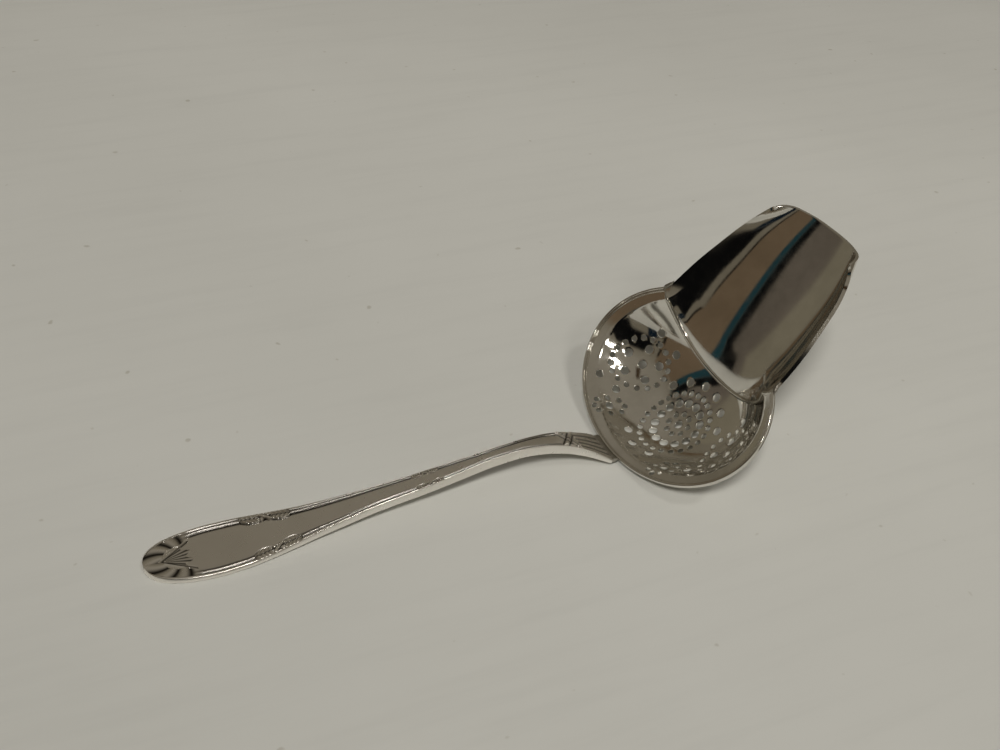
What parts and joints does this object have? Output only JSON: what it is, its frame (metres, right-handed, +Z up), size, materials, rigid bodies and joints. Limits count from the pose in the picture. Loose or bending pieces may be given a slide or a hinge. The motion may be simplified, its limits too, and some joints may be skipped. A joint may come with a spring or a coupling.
{
  "type": "tea strainer spoon",
  "caption": "Pierced oval strainer bowl with an applied rim, a wide open pouring spout soldered across one side and an ornamented flatware handle.",
  "frame": {"origin": "bottom centre of the spoon's bounding box, on the table plane", "axes": "+X from the handle tip towards the spout, +Z up as the spoon lies face up, +Y completes a right-handed frame and y = 0 is the plane of symmetry"},
  "size_m": [0.157, 0.06, 0.0496],
  "materials": {
    "polished_silver": "worn polished silver plate",
    "satin_silver": "die-struck, lightly dulled silver plate",
    "solder": "dull soft solder"
  },
  "bodies": {
    "root": {"bowl": "polished_silver", "bowl_rim": "polished_silver", "spout": "polished_silver", "lap_solder": "solder", "corner_solder_near": "solder", "corner_solder_far": "solder", "handle": "satin_silver", "handle_solder": "solder"}
  },
  "joints": []
}
